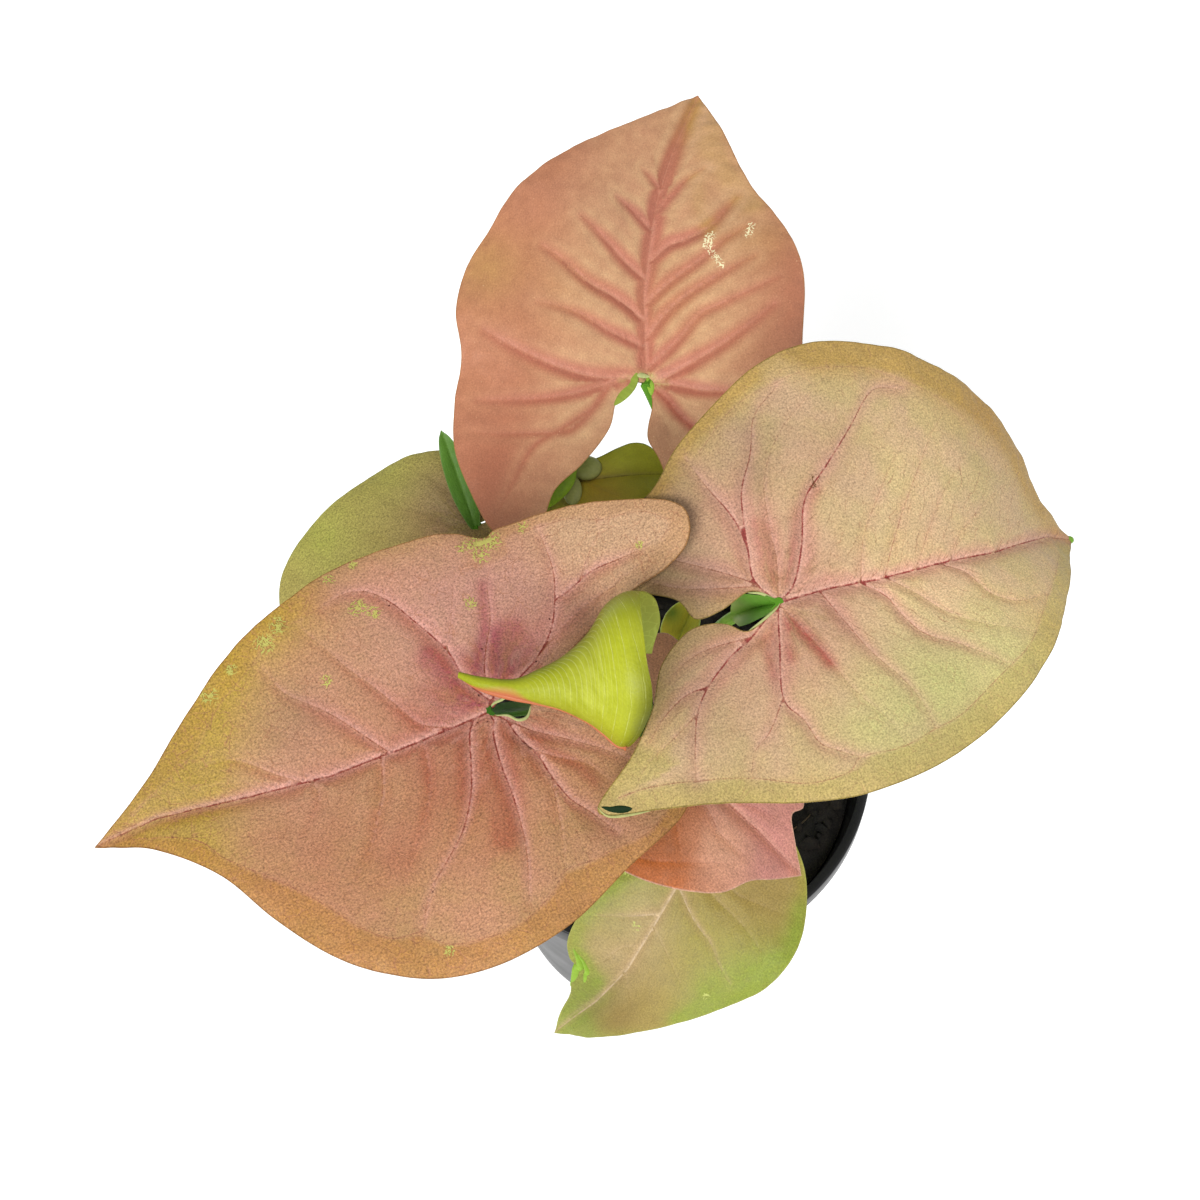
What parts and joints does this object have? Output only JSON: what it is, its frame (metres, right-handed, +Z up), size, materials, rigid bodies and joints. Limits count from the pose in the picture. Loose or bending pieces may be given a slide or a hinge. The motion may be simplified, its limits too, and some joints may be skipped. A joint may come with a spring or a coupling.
{
  "type": "potted syngonium plant",
  "caption": "Young syngonium with pink, tan and green arrow-shaped leaves on slim stalks, growing from a filled round black nursery pot.",
  "frame": {"origin": "centre of the pot's flat base, on the surface that it stands on", "axes": "+Z up, +X to the viewer's right in the picture, +Y away from the viewer"},
  "size_m": [0.2207, 0.2461, 0.2563],
  "materials": {
    "pot": "satin",
    "potting_mix": "matte",
    "leaf_west": "satin",
    "leaf_east": "satin",
    "leaf_north": "satin",
    "leaf_south": "satin",
    "leaf_blush": "satin",
    "leaf_nw": "satin",
    "leaf_back": "satin",
    "leaf_new": "satin",
    "leaf_rolled": "satin"
  },
  "bodies": {
    "root": {"pot": "pot", "potting_mix": "potting_mix", "leaf_west": "leaf_west", "leaf_east": "leaf_east", "leaf_north": "leaf_north", "leaf_south": "leaf_south", "leaf_blush": "leaf_blush", "leaf_nw": "leaf_nw", "leaf_back": "leaf_back", "leaf_new": "leaf_new", "leaf_rolled": "leaf_rolled"}
  },
  "joints": []
}
